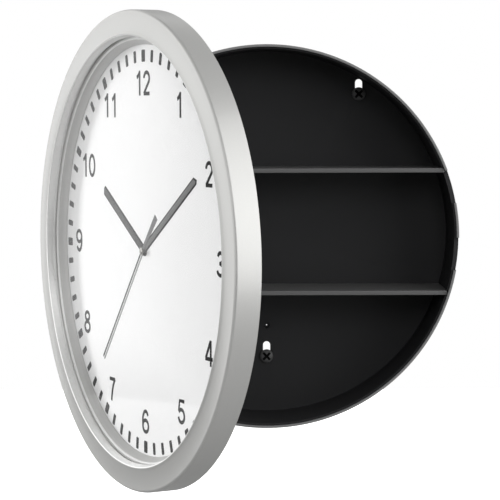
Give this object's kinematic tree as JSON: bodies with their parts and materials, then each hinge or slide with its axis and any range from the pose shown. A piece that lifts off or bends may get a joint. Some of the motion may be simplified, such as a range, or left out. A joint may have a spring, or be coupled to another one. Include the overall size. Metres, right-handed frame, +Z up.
{
  "type": "clock diversion safe",
  "caption": "Round wall clock whose front swings open as a door on a left-hand hinge, in front of a shallow round case with level shelves.",
  "frame": {"origin": "centre of the flat back of the case, on the wall plane", "axes": "+Z up, +X to the right as seen from the front, +Y into the wall, so the clock faces -Y; the rest pose is the door open as in the picture"},
  "size_m": [0.2448, 0.2805, 0.254],
  "materials": {
    "case_plastic": "black moulded, satin",
    "shelf_plastic": "black moulded, satin",
    "silver_plastic": "silver painted, satin",
    "clear_lens": "clear plastic, polished",
    "dial_white": "white, matt, printed",
    "cover_plastic": "dark grey moulded",
    "movement_plastic": "black moulded",
    "milk_plastic": "natural acetal",
    "steel_bright": "plated",
    "steel_black": "black oxide",
    "hand_grey": "grey lacquered",
    "hand_silver": "bright",
    "brass": "turned",
    "copper_wire": "enamelled copper winding",
    "board": "green laminate",
    "cell_wrap": "plain film over the cell's can"
  },
  "bodies": {
    "case": {"case_shell": "case_plastic", "shelf_upper": "shelf_plastic", "shelf_lower": "shelf_plastic", "hinge_pin_upper": "steel_bright", "hinge_pin_lower": "steel_bright", "wall_screw_left": "steel_black", "wall_screw_right": "steel_black", "wall_screw_lower": "steel_black"},
    "door": {"bezel_ring": "silver_plastic", "lens": "clear_lens", "dial_ring": "silver_plastic", "dial": "dial_white", "rear_cover": "cover_plastic", "cover_screw_1": "steel_bright", "cover_screw_2": "steel_bright", "cover_screw_3": "steel_bright", "cover_screw_4": "steel_bright", "cover_screw_5": "steel_bright", "cover_screw_6": "steel_bright", "door_catch": "cover_plastic", "catch_screw": "steel_bright", "movement_front": "milk_plastic", "movement_back": "movement_plastic", "movement_screw_left": "steel_bright", "movement_screw_right": "steel_bright", "middle_plate": "milk_plastic", "battery": "cell_wrap", "contact_positive": "steel_bright", "contact_negative": "steel_bright", "stator": "steel_bright", "coil": "copper_wire", "circuit_board": "board", "crystal": "steel_bright"},
    "minute_train": {"minute_hand": "hand_grey", "minute_arbor": "brass"},
    "hour_train": {"hour_hand": "hand_grey", "hour_wheel": "milk_plastic"},
    "motion_train": {"motion_wheel": "milk_plastic"},
    "setting": {"set_knob": "movement_plastic"},
    "second_train": {"second_hand": "hand_silver", "second_cap": "hand_silver", "second_wheel": "milk_plastic"},
    "third_train": {"third_wheel": "milk_plastic"},
    "centre_train": {"centre_wheel": "milk_plastic"},
    "fifth_train": {"fifth_wheel": "milk_plastic"},
    "rotor_train": {"rotor": "steel_bright"}
  },
  "joints": [
    {"name": "door_hinge", "type": "hinge", "parent": "case", "child": "door", "pos_m": [-0.118, -0.058, 0], "axis": [0, 0, -1], "range_deg": [-62.6, 32.4]},
    {"name": "minute_turn", "type": "hinge", "parent": "door", "child": "minute_train", "pos_m": [-0.0637, -0.16276, 0], "axis": [0.8878, 0.4602, 0], "continuous": true},
    {"name": "hour_turn", "type": "hinge", "parent": "door", "child": "hour_train", "pos_m": [-0.0637, -0.16276, 0], "axis": [0.8878, 0.4602, 0], "continuous": true},
    {"name": "motion_turn", "type": "hinge", "parent": "door", "child": "motion_train", "pos_m": [-0.06682, -0.15674, 0.00679], "axis": [0.8878, 0.4602, 0], "continuous": true},
    {"name": "knob_turn", "type": "hinge", "parent": "door", "child": "setting", "pos_m": [-0.07124, -0.14821, 0.00679], "axis": [0.8878, 0.4602, 0], "continuous": true},
    {"name": "second_turn", "type": "hinge", "parent": "door", "child": "second_train", "pos_m": [-0.0637, -0.16276, 0], "axis": [0.8878, 0.4602, 0], "continuous": true},
    {"name": "third_turn", "type": "hinge", "parent": "door", "child": "third_train", "pos_m": [-0.0608, -0.16836, 0.0063], "axis": [0.8878, 0.4602, 0], "continuous": true},
    {"name": "centre_turn", "type": "hinge", "parent": "door", "child": "centre_train", "pos_m": [-0.0637, -0.16276, 0], "axis": [0.8878, 0.4602, 0], "continuous": true},
    {"name": "fifth_turn", "type": "hinge", "parent": "door", "child": "fifth_train", "pos_m": [-0.0637, -0.16276, 0.00891], "axis": [0.8878, 0.4602, 0], "continuous": true},
    {"name": "rotor_turn", "type": "hinge", "parent": "door", "child": "rotor_train", "pos_m": [-0.06157, -0.16686, 0.01691], "axis": [0.8878, 0.4602, 0], "continuous": true}
  ],
  "couplings": [
    {"joint": "hour_turn", "follows": "minute_turn", "ratio": 0.083333},
    {"joint": "motion_turn", "follows": "minute_turn", "ratio": -0.33333},
    {"joint": "knob_turn", "follows": "minute_turn", "ratio": 1},
    {"joint": "third_turn", "follows": "second_turn", "ratio": -0.13333},
    {"joint": "centre_turn", "follows": "second_turn", "ratio": 0.016667},
    {"joint": "fifth_turn", "follows": "second_turn", "ratio": -5},
    {"joint": "rotor_turn", "follows": "second_turn", "ratio": 30}
  ]
}
